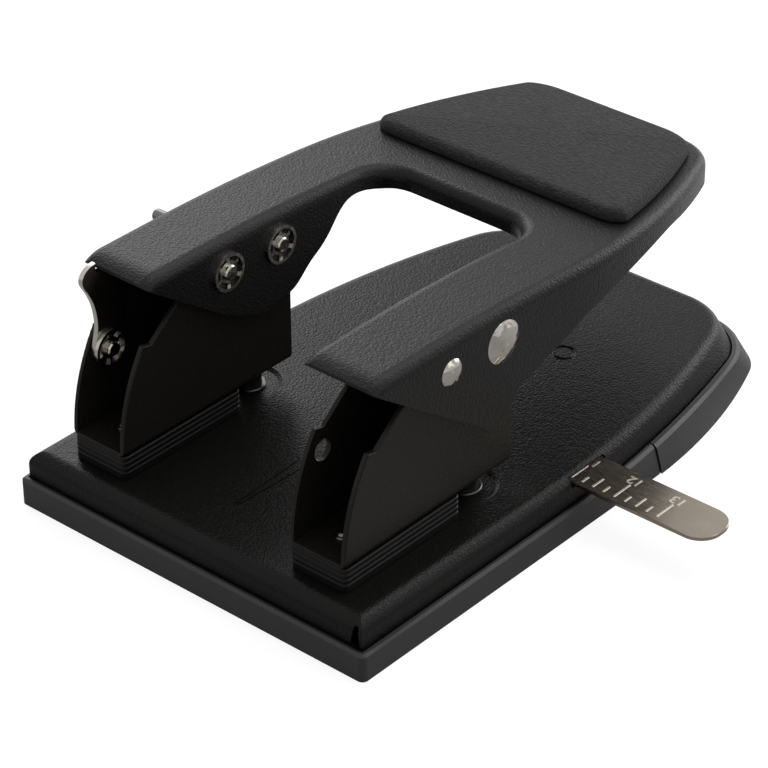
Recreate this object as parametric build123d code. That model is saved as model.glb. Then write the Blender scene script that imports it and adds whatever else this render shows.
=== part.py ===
"""Two-hole desk punch: steel base on a plastic chip tray, two punch towers and one wide lever.

Millimetres, +Z up, +Y towards the palm pad. The origin is on the resting surface, midway
between the two punched holes. The lever is at rest pressed down, held there by the latch.
"""

import os
from math import acos, atan, atan2, cos, degrees, hypot, pi, radians, sin, sqrt

from build123d import *

# Punching
hole_spacing = 69.85
hole_diameter = 7.14
paper_margin = 10.95
running_gap = 0.08
fit_gap = 0.02
body_gap = 0.4
cut_over = 5.0

# Chip tray, whose rear part folds down as a flap
tray_half_width = 55.4
tray_front = 59.3
tray_height = 7.4
tray_floor = 1.6
tray_wall = 1.4
tray_side_start = 45.0
tray_foot_radius = 160.0
tray_foot_back = 113.0
tray_foot_corner = 14.0
tray_rim_start = 12.0
tray_rim_radius = 338.0
tray_rim_back = 110.4
tray_rim_corner = 20.0
tray_front_corner = 1.6
tray_edge = 0.7
flap_seam = 51.3
flap_seam_gap = 0.4
flap_proud = 0.4

# Base plate
base_top = 14.6
base_sheet = 1.2
base_roll = 3.6
base_back_inset = 2.1
base_crown_radius = 245.0
base_crown_back_inset = 2.2
base_corner = 18.0
corner_slit_foot = 2.9
corner_slit_head = 1.2
corner_slit_inset = 0.7
corner_slit_share = 0.76
dish_radius = 8.7
dish_slope = 1.0
dish_depth = 0.7
centre_mark_point = 41.4
centre_mark_end = 17.6
centre_mark_spread = 1.2
centre_mark_width = 0.35
centre_mark_depth = 0.25
dimple_x = 16.4
dimple_y = 61.6
dimple_radius = 3.55
dimple_groove = 1.25
dimple_depth = 0.4

# Dies
die_radius = 4.6
die_flange_radius = 7.0
die_flange_height = 1.6
die_edge = 0.25

# Tower brackets, both alike
bracket_width = 16.92
bracket_sheet = 1.25
bracket_front = 51.5
bracket_rear = 7.6
bracket_bend = 2.0
bracket_edge_lean = 8.3
bracket_edge_mid_shares = (0.31, 0.55)
bracket_step_share = 0.586
bracket_step_length = 2.9
bracket_step_drop = 0.65
bracket_slant_run = 8.9
bracket_slant_share = 0.162
bracket_boss_radius = 5.5
bracket_shelf_drop = 3.7
bracket_edge_ease = 0.4
latch_hole_diameter = 5.5

# Plates under each bracket
foot_thickness = 2.2
spacer_thickness = 1.4
spacer_count = 3
stack_corner = 1.6
stack_edge = 0.25

# Rivets that hold each bracket
rivet_radius = 1.0
rivet_head_radius = 1.4
rivet_head_height = 0.9
rivet_head_round_share = 0.8
rivet_tail_radius = 1.8
rivet_tail_height = 0.6
washer_radius = 1.9
washer_thickness = 0.5
rivet_inset = 8.8

# Punch guide in each bracket
guide_shelf_share = 0.4017
guide_sheet = 1.5
guide_front_reach = 6.5
guide_lip_proud = 0.6
guide_lip_share = 0.596

# Punches
punch_tip_depth = 1.6
punch_notch_depth = 1.8
punch_notch_share = 0.62
punch_chamfer = 0.5
head_gap = 0.3
collar_drop = 4.0
collar_radius = 6.1
collar_thickness = 1.2
collar_groove = 0.5

# Return springs
spring_wire = 1.1
spring_mean_radius = 4.75
spring_pitch = 2.25
spring_end_turns = 1
spring_end_pitch = 1.62
spring_seat_gap = 0.3

# Pins of the lever
pivot_y = -17.0
pivot_drop = 8.7
drive_pin_reach = 18.2
drive_pin_drop = 0.4
pin_radius = 2.0
pivot_head_radius = 3.5
drive_head_radius = 5.5
pin_head_height = 1.4
pin_tail = 1.6
pin_edge_share = 0.17

# Push-on retainers
retainer_radius = 5.0
retainer_rim = 0.8
retainer_rim_height = 1.0
retainer_web = 0.45
retainer_hub = 0.8
retainer_spokes = 6
retainer_spoke_width = 1.0

# Lever
lever_outer_gap = 0.815
lever_inner_gap = 1.165
lever_front = 43.3
lever_back = 106.0
lever_sheet = 1.4
lever_roll = 3.0
lever_top = 66.9
lever_fall_share = 0.072
lever_blend = 40.0
lip_length = 5.3
lip_drop = 1.5
handle_side_start = 27.7
handle_side_radius = 179.0
handle_corner = 13.0
window_back = 39.8
window_corner = 9.0
flange_depth = 4.3
flange_growth_share = 0.031
flange_split = 34.9
flange_front_drop = 0.9
keel_drop = 23.7
keel_y = 0.2
keel_radius = 4.2
keel_turn = 20.0
inner_line_end = -19.1
top_face_share = 0.7

# Stud on the outside of the left arm
stud_y = -13.1
stud_drop = 4.8
stud_radius = 1.6
stud_length = 5.7
stud_shank_radius = 1.1
stud_tail_thickness = 0.5

# Palm pad
pad_inset = 4.3
pad_front = 52.2
pad_height = 4.6
pad_front_corner = 7.5
pad_corner = 9.5
pad_edge = 2.6
pad_crown_radius = 900.0

# Latch
latch_y = -41.0
latch_height_share = 0.44
latch_thickness = 1.2
latch_side_gap = 0.5
latch_eye_radius = 4.6
latch_top_drop = 0.9
latch_front_gap = 0.4
latch_tooth_overlap = 1.2
latch_tooth_gap = 0.4
latch_pin_head_radius = 4.0
latch_pin_head_height = 1.2
latch_pin_head_round_share = 0.6
latch_edge_share = 0.125
latch_pin_tail = 1.85
latch_play = 0.1

# Paper guide, a nickel rule that slides out of the side
rule_width = 13.4
rule_centre = 25.6
rule_thickness = 1.0
rule_tip = 92.0
rule_length = 106.0
rule_corner = 6.0
rule_edge_share = 0.125
rule_gap = 0.1
notch_side_gap = 0.4
notch_depth = 2.1
channel_end_gap = 2.0
channel_length = 33.0
channel_sheet = 1.0
channel_foot = 5.0

# Heights and places that follow from the sizes above
hole_x = hole_spacing / 2
punch_radius = hole_diameter / 2
punch_bore = punch_radius + running_gap
base_under = base_top - base_sheet
skirt_bottom = tray_floor
base_half_width = tray_half_width - tray_wall - body_gap
base_side_start = tray_rim_start
base_side_radius = tray_rim_radius - tray_wall - body_gap
base_front = tray_front - tray_wall - body_gap
base_back = tray_rim_back - base_back_inset
stack_bottom = base_top
stack_top = stack_bottom + foot_thickness + spacer_count * spacer_thickness
web_top = stack_top + bracket_sheet
tower_height = lever_top - web_top
pivot_z = lever_top - pivot_drop
bracket_shelf_height = pivot_z - bracket_shelf_drop
stack_front = -bracket_front
stack_rear = -paper_margin
stack_length = stack_rear - stack_front
inner_half = bracket_width / 2 - bracket_sheet
drive_y = pivot_y + drive_pin_reach
drive_z = pivot_z - drive_pin_drop
punch_top = drive_z - pin_radius - head_gap
dish_floor = base_top - dish_depth
dish_under = base_under - dish_depth
punch_tip = base_top - punch_tip_depth
collar_z = punch_top - collar_drop
guide_shelf_height = web_top + guide_shelf_share * (collar_z - web_top)
spring_low = guide_shelf_height + spring_seat_gap + spring_wire / 2
spring_high = collar_z - spring_seat_gap - spring_wire / 2
spring_turns = round((spring_high - spring_low) / spring_pitch)
rule_top = base_under - rule_gap
rule_bottom = rule_top - rule_thickness
channel_end = base_half_width - base_roll - channel_end_gap
channel_start = channel_end - channel_length
latch_pin_radius = latch_hole_diameter / 2 - running_gap
latch_z = web_top + latch_height_share * tower_height
latch_rise = lever_top - latch_top_drop - latch_z
lever_slope = degrees(atan(lever_fall_share))
lever_reach = lever_back - pivot_y
flange_front_z = lever_top - lip_drop - flange_front_drop
lever_half_width = hole_x + bracket_width / 2 + lever_outer_gap + lever_sheet
window_half_width = hole_x - bracket_width / 2 - lever_inner_gap - lever_sheet


def lever_top_at(y):
    """Height of the lever's top face behind the level front of its arms."""
    return lever_top - lever_fall_share * y


def flange_low_at(y):
    """Height of the flanges' lower edge on the handle, where they get slowly deeper to the back."""
    return lever_top_at(y) - flange_depth - flange_growth_share * y


def block(x_range, y_range, z_range):
    """Box between three pairs of limits."""
    size = [high - low for low, high in (x_range, y_range, z_range)]
    middle = [(low + high) / 2 for low, high in (x_range, y_range, z_range)]
    return Pos(*middle) * Box(*size)


def swept_plan(half_width, front, side_start, side_radius, back, back_corner, front_corner=0):
    """Plan face with straight front and sides, sides that arc in, and a rounded straight back."""

    def side_x(y):
        return half_width - side_radius + sqrt(side_radius**2 - (y - side_start) ** 2)

    middle = (side_start + back) / 2
    end_x = side_x(back)
    outline = [
        Line((-half_width, -front), (half_width, -front)),
        Line((half_width, -front), (half_width, side_start)),
        ThreePointArc((half_width, side_start), (side_x(middle), middle), (end_x, back)),
        Line((end_x, back), (-end_x, back)),
        ThreePointArc((-end_x, back), (-side_x(middle), middle), (-half_width, side_start)),
        Line((-half_width, side_start), (-half_width, -front)),
    ]
    face = make_face(outline)
    face = fillet(face.vertices().group_by(Axis.Y)[-1], back_corner)
    if front_corner:
        face = fillet(face.vertices().group_by(Axis.Y)[0], front_corner)
    return face


def raised(plan, low, high):
    """Plan face extruded between two heights."""
    return extrude(Pos(0, 0, low) * plan, amount=high - low)


def ring_of_holes(count, cutter):
    """Copies of a cutter turned about Z."""
    return [Rot(0, 0, i * 360 / count) * cutter for i in range(count)]


def along_x(profile_on_z, x, outward):
    """Turn a solid made along +Z so that its +Z points along outward * X, and put it at x."""
    return Pos(x, 0, 0) * Rot(0, 90 * outward, 0) * profile_on_z


def rivet_places():
    """Plan places of the rivets in one bracket, from its own centre line."""
    return [(0, stack_front + rivet_inset), (0, stack_rear - rivet_inset)]


def on_both_sides(solid):
    """One copy for the left tower and one for the right, by shifting along X."""
    return Pos(-hole_x, 0, 0) * solid, Pos(hole_x, 0, 0) * solid


# Chip tray and flap

def tray_cavity():
    """Space inside the rim, which holds the base plate's skirt and the chips."""
    plan = swept_plan(
        base_half_width + body_gap, base_front + body_gap, base_side_start,
        base_side_radius + body_gap, base_back + body_gap, base_corner + body_gap,
    )
    return raised(plan, tray_floor, tray_height + cut_over)


def tray_form(proud):
    """Whole tray as a full body: level with the rim in front, its walls flare out towards the back."""
    foot_plan = swept_plan(
        tray_half_width + proud, tray_front, tray_side_start, tray_foot_radius,
        tray_foot_back, tray_foot_corner, tray_front_corner,
    )
    rim_plan = swept_plan(
        tray_half_width + proud, tray_front, tray_rim_start, tray_rim_radius,
        tray_rim_back, tray_rim_corner, tray_front_corner,
    )
    body = loft([foot_plan, Pos(0, 0, tray_height) * rim_plan], ruled=True)
    return chamfer(body.edges().group_by(Axis.Z)[-1], tray_edge)


def tray_section(front, back):
    """Box that covers the tray between two places along Y."""
    wide = tray_half_width + cut_over
    return block((-wide, wide), (front, back), (-cut_over, tray_height + cut_over))


def make_tray_front():
    """Fixed front part of the tray."""
    body = tray_form(0) & tray_section(-tray_front - cut_over, flap_seam)
    return body - tray_cavity()


def make_tray_flap():
    """Rear part of the tray, which folds down to empty the chips."""
    body = tray_form(flap_proud) & tray_section(flap_seam + flap_seam_gap, tray_foot_back + cut_over)
    return body - tray_cavity()


# Base plate

def base_form(inset, top):
    """Base plate as a full body: upright skirt, then walls that lean in at the back, rolled at the top."""
    skirt_plan = swept_plan(
        base_half_width - inset, base_front - inset, base_side_start,
        base_side_radius - inset, base_back - inset, base_corner - inset,
    )
    crown_plan = swept_plan(
        base_half_width - inset, base_front - inset, base_side_start,
        base_crown_radius - inset, base_back - base_crown_back_inset - inset, base_corner - inset,
    )
    foot = 0 if inset else skirt_bottom
    skirt = raised(skirt_plan, foot, tray_height)
    crown = loft([Pos(0, 0, tray_height) * skirt_plan, Pos(0, 0, top) * crown_plan], ruled=True)
    body = skirt + crown
    return fillet(body.edges().group_by(Axis.Z)[-1], base_roll - inset)


def make_base_plate():
    """Pressed steel base with a dish around each die, marks, rule notch and rivet holes."""
    body = base_form(0, base_top) - base_form(base_sheet, base_under)
    on_floor = (Align.CENTER, Align.CENTER, Align.MIN)
    dish = Cone(dish_radius - dish_slope, dish_radius, dish_depth, align=on_floor)
    bulge = Cone(dish_radius, dish_radius + dish_slope, dish_depth, align=on_floor)
    for x in (-hole_x, hole_x):
        body += Pos(x, 0, dish_under) * bulge
        body -= Pos(x, 0, dish_floor) * dish
        body -= Pos(x, 0, base_top) * Cylinder(die_radius + fit_gap, 2 * cut_over)
        for rivet_x, rivet_y in rivet_places():
            body -= Pos(x + rivet_x, rivet_y, base_top) * Cylinder(rivet_radius + fit_gap, 2 * cut_over)
    notch_half = rule_width / 2 + notch_side_gap
    body -= block(
        (base_half_width - notch_depth, base_half_width + cut_over),
        (rule_centre - notch_half, rule_centre + notch_half),
        (rule_bottom - notch_side_gap, base_top + cut_over),
    )
    body -= block(
        (base_half_width - base_roll - notch_side_gap, base_half_width + cut_over),
        (rule_centre - notch_half, rule_centre + notch_half),
        (rule_bottom - notch_side_gap, base_under),
    )
    slit_low = tray_height + body_gap
    slit_high = slit_low + corner_slit_share * (base_top - slit_low)
    corner = base_half_width - corner_slit_inset
    slit = make_face(Polyline(
        (corner, slit_low), (corner - corner_slit_foot, slit_low),
        (corner - corner_slit_inset - corner_slit_head, slit_high),
        (corner - corner_slit_inset, slit_high), close=True,
    ))
    body -= extrude(Plane.XZ * Pos(0, 0, base_front + cut_over) * slit, amount=-(cut_over + base_roll))
    mark_length = hypot(centre_mark_point - centre_mark_end, centre_mark_spread)
    mark_angle = degrees(atan2(centre_mark_spread, centre_mark_point - centre_mark_end))
    for side in (-1, 1):
        mark = block(
            (-centre_mark_width / 2, centre_mark_width / 2), (0, mark_length), (-centre_mark_depth, cut_over)
        )
        point_x = -side * centre_mark_width
        body -= Pos(point_x, -centre_mark_point, base_top) * Rot(0, 0, side * mark_angle) * mark
    groove_radius = ((dimple_groove / 2) ** 2 + dimple_depth**2) / (2 * dimple_depth)
    groove = Torus(dimple_radius - dimple_groove / 2, groove_radius)
    return body - Pos(dimple_x, dimple_y, base_top - dimple_depth + groove_radius) * groove


def make_die():
    """Hardened die bush, level with the base around its dish, with its flange under the sheet."""
    low = dish_under - die_flange_height
    bush = raised(Circle(die_radius), low, base_top)
    bush = chamfer(bush.edges().group_by(Axis.Z)[-1], die_edge)
    flange = raised(Circle(die_flange_radius), low, dish_under)
    return bush + flange - raised(Circle(punch_bore), 0, base_top + cut_over)


# Towers

def stack_plate(low, thickness):
    """One plate of the stack under a bracket, edges eased so that each layer shows."""
    middle_y = (stack_front + stack_rear) / 2
    plan = Pos(0, middle_y) * RectangleRounded(bracket_width, stack_length, stack_corner)
    plate = raised(plan, low, low + thickness)
    plate = chamfer(plate.edges().group_by(Axis.Z)[0] + plate.edges().group_by(Axis.Z)[-1], stack_edge)
    for x, y in rivet_places():
        plate -= Pos(x, y, low) * Cylinder(rivet_radius + fit_gap, 2 * cut_over)
    return plate


def bracket_side():
    """Side outline of a bracket as a face in the YZ plane."""
    front = -bracket_front
    step_y = front + bracket_edge_lean
    step_z = web_top + bracket_step_share * tower_height
    slant_y = step_y + bracket_step_length
    slant_z = step_z - bracket_step_drop
    top_y = slant_y + bracket_slant_run
    top_z = slant_z + bracket_slant_share * tower_height
    reach = hypot(pivot_y - top_y, pivot_z - top_z)
    turn = atan2(top_z - pivot_z, top_y - pivot_y) - acos(bracket_boss_radius / reach)
    touch = (pivot_y + bracket_boss_radius * cos(turn), pivot_z + bracket_boss_radius * sin(turn))
    lean_share, rise_share = bracket_edge_mid_shares
    edge_mid = (front + lean_share * bracket_edge_lean, web_top + rise_share * (step_z - web_top))
    corners = [
        touch, (pivot_y, pivot_z), (pivot_y, bracket_shelf_height),
        (bracket_rear, bracket_shelf_height), (bracket_rear, stack_top), (front, stack_top), (front, web_top),
    ]
    outline = [
        ThreePointArc((front, web_top), edge_mid, (step_y, step_z)),
        Line((step_y, step_z), (slant_y, slant_z)),
        Line((slant_y, slant_z), (top_y, top_z)),
        Line((top_y, top_z), touch),
    ] + [Line(a, b) for a, b in zip(corners, corners[1:])]
    face = make_face(outline) + Pos(pivot_y, pivot_z) * Circle(bracket_boss_radius)
    return Plane.YZ * face


def make_bracket():
    """One U bracket, centred on its punch: side walls on a web, with guide and pin holes."""
    half = bracket_width / 2
    body = extrude(Pos(-half, 0, 0) * bracket_side(), amount=bracket_width, dir=(1, 0, 0))
    bends = body.edges().filter_by(Axis.Y).group_by(Axis.Z)[0]
    body = fillet(bends, bracket_bend)
    channel = block(
        (-inner_half, inner_half), (-bracket_front - cut_over, bracket_rear + cut_over),
        (web_top, pivot_z + 2 * bracket_boss_radius),
    )
    body -= channel
    outer_faces = body.faces().filter_by(Axis.X).group_by(Axis.X)
    outlines = [e for face in (outer_faces[0] + outer_faces[-1]) for e in face.edges()]
    body = fillet([e for e in outlines if e.center().Z > web_top], bracket_edge_ease)
    body -= Pos(0, 0, web_top) * Cylinder(punch_bore, 2 * cut_over)
    for x, y in rivet_places():
        body -= Pos(x, y, web_top) * Cylinder(rivet_radius + fit_gap, 2 * cut_over)
    cross_hole = Rot(0, 90, 0) * Cylinder(pin_radius + running_gap, bracket_width + cut_over)
    body -= Pos(0, pivot_y, pivot_z) * cross_hole
    latch_hole = Rot(0, 90, 0) * Cylinder(latch_hole_diameter / 2, 2 * bracket_sheet)
    body -= Pos(-half, latch_y, latch_z) * latch_hole
    return body


def make_punch_guide():
    """Bent sheet across the bracket: a shelf that guides the punch, with a lip at the rear."""
    rear = bracket_rear + guide_lip_proud
    shelf = block(
        (-inner_half, inner_half), (-guide_front_reach, rear),
        (guide_shelf_height - guide_sheet, guide_shelf_height),
    )
    lip_height = guide_lip_share * (guide_shelf_height - web_top)
    lip = block(
        (-inner_half, inner_half), (rear - guide_sheet, rear),
        (guide_shelf_height - lip_height, guide_shelf_height),
    )
    body = shelf + lip
    bend = body.edges().filter_by(Axis.X).sort_by(lambda e: e.center().Y + e.center().Z)[-1]
    body = fillet(bend, guide_sheet)
    return body - Pos(0, 0, guide_shelf_height) * Cylinder(punch_bore, 2 * cut_over)


def make_rivet():
    """Rivet through the web, the stack and the base sheet, on its own axis."""
    head_low = web_top + washer_thickness
    shank = raised(Circle(rivet_radius), base_under, head_low)
    head = raised(Circle(rivet_head_radius), head_low, head_low + rivet_head_height)
    head = fillet(head.edges().group_by(Axis.Z)[-1], rivet_head_height * rivet_head_round_share)
    tail = raised(Circle(rivet_tail_radius), base_under - rivet_tail_height, base_under)
    tail = chamfer(tail.edges().group_by(Axis.Z)[0], rivet_tail_height / 2)
    return shank + head + tail


def make_washer():
    """Washer under a rivet's head."""
    washer = raised(Circle(washer_radius), web_top, web_top + washer_thickness)
    washer = chamfer(washer.edges().group_by(Axis.Z)[-1], washer_thickness / 4)
    return washer - raised(Circle(rivet_radius + fit_gap), web_top - cut_over, web_top + cut_over)


# Punches and springs

def make_punch():
    """Punch rod: notched cutting end, groove for its collar and an eased head."""
    rod = raised(Circle(punch_radius), punch_tip, punch_top)
    rod = chamfer(rod.edges().group_by(Axis.Z)[-1], punch_chamfer)
    notch_half = punch_radius * punch_notch_share
    notch = extrude(
        Plane.XZ * make_face(Polyline(
            (-notch_half, punch_tip), (0, punch_tip + punch_notch_depth), (notch_half, punch_tip), close=True
        )),
        amount=punch_radius + cut_over, both=True,
    )
    groove = raised(Circle(punch_radius + cut_over), collar_z, collar_z + collar_thickness)
    groove -= raised(Circle(punch_radius - collar_groove), collar_z, collar_z + collar_thickness)
    return rod - notch - groove


def make_collar():
    """Ring in the punch's groove that the return spring lifts."""
    ring = raised(Circle(collar_radius), collar_z, collar_z + collar_thickness)
    ring = fillet(ring.edges(), collar_thickness / 4)
    bore_radius = punch_radius - collar_groove + fit_gap
    return ring - raised(Circle(bore_radius), collar_z, collar_z + collar_thickness)


def spring_height(turn):
    """Height of the wire's centre line: close turns at both ends and even open turns between."""
    open_turns = spring_turns - 2 * spring_end_turns
    open_pitch = (spring_high - spring_low - 2 * spring_end_turns * spring_end_pitch) / open_turns
    if turn <= spring_end_turns:
        return spring_low + turn * spring_end_pitch
    if turn >= spring_turns - spring_end_turns:
        return spring_high - (spring_turns - turn) * spring_end_pitch
    return spring_low + spring_end_turns * spring_end_pitch + (turn - spring_end_turns) * open_pitch


def spring_point(turn):
    """Point of the wire's centre line after a number of turns."""
    angle = 2 * pi * turn
    return Vector(spring_mean_radius * cos(angle), spring_mean_radius * sin(angle), spring_height(turn))


def make_spring():
    """Return spring as one tube swept along two tangent arcs for each quarter turn."""
    quarters = 4 * spring_turns
    points = [spring_point(i / 4) for i in range(quarters + 1)]
    tangents = []
    for i in range(quarters + 1):
        angle = 2 * pi * i / 4
        before = points[max(i - 1, 0)]
        after = points[min(i + 1, quarters)]
        steps = min(i + 1, quarters) - max(i - 1, 0)
        rise = (after.Z - before.Z) / (steps * pi / 2)
        around_x = -spring_mean_radius * sin(angle)
        around_y = spring_mean_radius * cos(angle)
        tangents.append(Vector(around_x, around_y, rise).normalized())
    edges = []
    for start, end, leave, arrive in zip(points, points[1:], tangents, tangents[1:]):
        chord = end - start
        both = leave + arrive
        a = both.dot(both) - 4
        b = -2 * chord.dot(both)
        c = chord.dot(chord)
        reach = (-b - sqrt(b * b - 4 * a * c)) / (2 * a)
        if reach < 0:
            reach = (-b + sqrt(b * b - 4 * a * c)) / (2 * a)
        joint = (start + leave * reach + end - arrive * reach) * 0.5
        edges.append(Edge.make_tangent_arc(start, leave, joint))
        edges.append(Edge.make_tangent_arc(joint, edges[-1] % 1, end))
    path = Wire(edges)
    section = Plane(origin=points[0], z_dir=tangents[0]) * Circle(spring_wire / 2)
    return sweep(section, path=path)


def print_spring_gap():
    """Print the least gap between neighbouring turns, measured on points of the centre line."""
    per_turn = 48
    points = [spring_point(i / per_turn) for i in range(spring_turns * per_turn + 1)]
    least = min(
        (a - b).length
        for i, a in enumerate(points)
        for b in points[i + per_turn // 2:]
    )
    print("return spring: least gap between turns", round(least - spring_wire, 2), "mm")


# Lever

def lever_plan(inset, front):
    """Plan of the lever: swept-back handle with a window between the arms, open at the front."""
    body = swept_plan(
        lever_half_width - inset, front, handle_side_start,
        handle_side_radius - inset, lever_back - inset, handle_corner - inset,
    )
    half = window_half_width + inset
    back = window_back + inset
    window = make_face(Polyline(
        (-half, -front - cut_over), (half, -front - cut_over), (half, back), (-half, back), close=True
    ))
    window = fillet(window.vertices().group_by(Axis.Y)[-1], window_corner + inset)
    return body - window


def lever_profile(drop, front):
    """Side face under the lever's top line: lip at the front, level arms, then the falling handle."""
    top = lever_top - drop
    lip_start = -lever_front + lip_length
    lip_end = -front
    blend_half = lever_blend / 2
    low = pivot_z - keel_drop - cut_over
    back = lever_back + cut_over
    lip_angle = 2 * atan(lip_drop / lip_length)
    lip_radius = lip_length / sin(lip_angle)
    lip_mid = (lip_start - lip_radius * sin(lip_angle / 2), top - lip_radius * (1 - cos(lip_angle / 2)))
    lip_foot = (-lever_front, top - lip_drop)
    lip_end_z = top - lip_drop - (front - lever_front) * sin(lip_angle) / cos(lip_angle)
    blend_mid_z = top - lever_fall_share * blend_half / 4
    outline = [
        ThreePointArc(lip_foot, lip_mid, (lip_start, top)),
        Line((lip_start, top), (-blend_half, top)),
        ThreePointArc(
            (-blend_half, top), (0, blend_mid_z), (blend_half, top - lever_fall_share * blend_half)
        ),
        Line((blend_half, top - lever_fall_share * blend_half), (back, top - lever_fall_share * back)),
        Line((back, top - lever_fall_share * back), (back, low)),
        Line((back, low), (lip_end, low)),
    ]
    if front > lever_front:
        outline += [Line((lip_end, low), (lip_end, lip_end_z)), Line((lip_end, lip_end_z), lip_foot)]
    else:
        outline += [Line((lip_end, low), lip_foot)]
    return Plane.YZ * make_face(outline)


def lever_form(inset, front):
    """Lever as a full body with its top edges rolled."""
    low = pivot_z - keel_drop - cut_over / 2
    body = raised(lever_plan(inset, front), low, lever_top + cut_over)
    side = extrude(
        Pos(-lever_half_width - cut_over, 0, 0) * lever_profile(inset, front),
        amount=2 * (lever_half_width + cut_over), dir=(1, 0, 0),
    )
    body = body & side
    tops = [f for f in body.faces() if f.normal_at(f.center()).Z > top_face_share]
    seen = [e for f in tops for e in f.edges()]
    rim = [e for e in seen if seen.count(e) == 1 and e.center().Y > -front + body_gap / 8]
    return fillet(rim, lever_roll - inset)


def on_lever_side(shares):
    """Points of a flange's lower edge, from shares of the lever's reach and of the keel's drop."""
    return [(pivot_y + a * lever_reach, pivot_z - b * keel_drop) for a, b in shares]


def flange_cutter(x_range, start_edges, shares, tail_shares):
    """Cutter below one flange's lower edge: its front edges, a curve, then the handle's slow line."""
    begin = start_edges[-1] @ 1
    tail = [(y, flange_low_at(y)) for y in (pivot_y + a * lever_reach for a in tail_shares)]
    end_y = lever_back + cut_over
    end = (end_y, flange_low_at(end_y))
    low = pivot_z - keel_drop - 2 * cut_over
    first = start_edges[0] @ 0
    front = (first.X, first.Y)
    outline = [
        *start_edges,
        Spline([(begin.X, begin.Y), *on_lever_side(shares), *tail]),
        Line(tail[-1], end),
        Line(end, (end_y, low)),
        Line((end_y, low), (front[0], low)),
        Line((front[0], low), front),
    ]
    face = Plane.YZ * make_face(outline)
    low_x, high_x = x_range
    return extrude(Pos(low_x, 0, 0) * face, amount=high_x - low_x, dir=(1, 0, 0))


def front_line():
    """Start, keel touching point and slope of the flanges' straight front edge."""
    start = (-lever_front, flange_front_z)
    centre = (keel_y, pivot_z - keel_drop + keel_radius)
    reach = hypot(centre[0] - start[0], centre[1] - start[1])
    turn = atan2(start[1] - centre[1], start[0] - centre[0]) + acos(keel_radius / reach)
    touch = (centre[0] + keel_radius * cos(turn), centre[1] + keel_radius * sin(turn))
    slope = (touch[1] - start[1]) / (touch[0] - start[0])
    return start, touch, centre, slope


outer_flange_shares = [
    (0.179, 0.764), (0.202, 0.650), (0.232, 0.595), (0.262, 0.540), (0.332, 0.447), (0.383, 0.338),
    (0.446, 0.266), (0.539, 0.181), (0.628, 0.136),
]
outer_tail_shares = (0.714, 0.780)
inner_flange_shares = [
    (0.020, 0.563), (0.060, 0.651), (0.114, 0.710), (0.146, 0.681), (0.185, 0.640),
    (0.236, 0.437), (0.266, 0.340), (0.296, 0.206), (0.327, 0.029), (0.350, -0.045),
]
inner_tail_shares = (0.400, 0.450)


def make_lever():
    """Pressed steel lever: one sheet with rolled edges, deep outer flanges and shallower inner ones."""
    body = lever_form(0, lever_front) - lever_form(lever_sheet, lever_front + cut_over)
    start, touch, centre, slope = front_line()
    ahead = (start[0] - cut_over, start[1] - slope * cut_over)
    wide = lever_half_width + cut_over
    turned = radians(-keel_turn)
    foot = (centre[0], centre[1] - keel_radius)
    keel_end = (centre[0] + keel_radius * cos(turned), centre[1] + keel_radius * sin(turned))
    for x_range in ((-wide, -flange_split), (flange_split, wide)):
        front_edges = [Line(ahead, touch), ThreePointArc(touch, foot, keel_end)]
        body -= flange_cutter(x_range, front_edges, outer_flange_shares, outer_tail_shares)
    inner_end = (inner_line_end, start[1] + slope * (inner_line_end - start[0]))
    front_edges = [Line(ahead, inner_end)]
    middle = (-flange_split, flange_split)
    body -= flange_cutter(middle, front_edges, inner_flange_shares, inner_tail_shares)
    cross_hole = Rot(0, 90, 0) * Cylinder(pin_radius + fit_gap, 2 * (lever_half_width + cut_over))
    for y, z in ((pivot_y, pivot_z), (drive_y, drive_z)):
        body -= Pos(0, y, z) * cross_hole
    stud_hole = Rot(0, 90, 0) * Cylinder(stud_shank_radius + fit_gap, 2 * cut_over)
    return body - Pos(-lever_half_width, stud_y, lever_top - stud_drop) * stud_hole


def make_stud():
    """Stud riveted through the outer flange of the left arm, with a rounded end."""
    knob = raised(Circle(stud_radius), 0, stud_length)
    knob = fillet(knob.edges().group_by(Axis.Z)[-1], stud_radius / 2)
    shank = raised(Circle(stud_shank_radius), -lever_sheet, 0)
    tail = raised(Circle(stud_radius), -lever_sheet - stud_tail_thickness, -lever_sheet)
    return Pos(0, stud_y, lever_top - stud_drop) * along_x(knob + shank + tail, -lever_half_width, -1)


def make_pad():
    """Foam palm pad: crowned, with rounded edges, on the falling top of the handle."""
    plan = swept_plan(
        lever_half_width - pad_inset, lever_front, handle_side_start,
        handle_side_radius - pad_inset, lever_back - pad_inset, pad_corner,
    )
    ahead = Pos(0, pad_front - lever_back) * Rectangle(4 * lever_half_width, 2 * lever_back)
    plan -= ahead
    plan = fillet(plan.vertices().group_by(Axis.Y)[0], pad_front_corner)
    middle_y = (pad_front + lever_back - pad_inset) / 2
    crown = Pos(0, 0, pad_height - pad_crown_radius) * Sphere(pad_crown_radius)
    body = raised(Pos(0, -middle_y) * plan, 0, pad_height + cut_over) & crown
    rim = [e for e in body.edges() if e.center().Z > pad_edge / 2]
    body = fillet(rim, pad_edge)
    return Pos(0, middle_y, lever_top_at(middle_y)) * Rot(-lever_slope, 0, 0) * body


def make_pin(y, z, head_radius, side):
    """Pin of one arm: domed head outside, shank through both flanges and both bracket walls."""
    outer = lever_half_width
    inner = window_half_width - pin_tail
    shank = raised(Circle(pin_radius), -(outer - inner), 0)
    shank = chamfer(shank.edges().group_by(Axis.Z)[0], pin_edge_share * pin_radius)
    dome_radius = (head_radius**2 + pin_head_height**2) / (2 * pin_head_height)
    head = Pos(0, 0, pin_head_height - dome_radius) * Sphere(dome_radius)
    head = head & raised(Circle(head_radius), 0, pin_head_height)
    return Pos(0, y, z) * along_x(shank + head, side * outer, side)


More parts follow.
